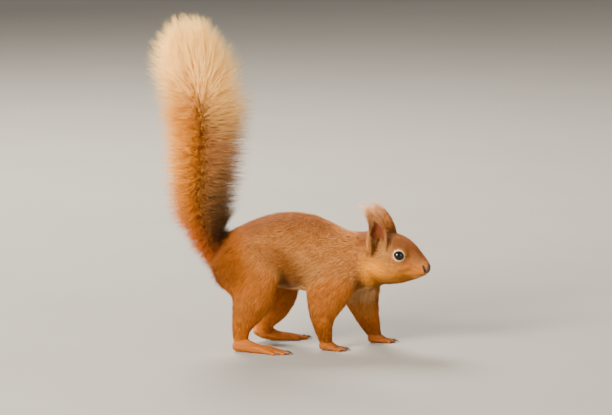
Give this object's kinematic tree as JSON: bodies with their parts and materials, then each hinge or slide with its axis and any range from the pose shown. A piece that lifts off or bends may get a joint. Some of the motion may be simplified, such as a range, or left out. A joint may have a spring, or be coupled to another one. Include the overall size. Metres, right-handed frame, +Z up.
{
  "type": "life-size red squirrel model",
  "caption": "Life-size still red squirrel in winter coat, standing on all fours with its tail held upright.",
  "frame": {"origin": "on the floor, under the middle of the squirrel's overall box", "axes": "+X forward along the body, +Y to the animal's left, +Z up"},
  "size_m": [0.2424, 0.1047, 0.2898],
  "materials": {
    "coat_back": "matte",
    "coat_head": "matte",
    "coat_legs": "matte",
    "feet": "matte",
    "ear_skin": "matte",
    "ear_hair": "matte",
    "tail_hair": "matte",
    "eye": "polished",
    "claw": "satin",
    "whisker": "satin"
  },
  "bodies": {
    "root": {"trunk": "coat_back", "neck": "coat_back", "head": "coat_head", "ear_right": "ear_skin", "ear_left": "ear_skin", "ear_tuft_right": "ear_hair", "ear_tuft_left": "ear_hair", "eye_right": "eye", "eye_left": "eye", "hind_thigh_right": "coat_back", "hind_thigh_left": "coat_back", "hind_shank_right": "coat_legs", "hind_shank_left": "coat_legs", "hind_foot_right": "feet", "hind_foot_left": "feet", "upper_arm_right": "coat_legs", "upper_arm_left": "coat_legs", "forearm_right": "coat_legs", "forearm_left": "coat_legs", "fore_paw_right": "feet", "fore_paw_left": "feet", "tail_base": "tail_hair", "tail_middle": "tail_hair", "tail_tip": "tail_hair"}
  },
  "joints": []
}
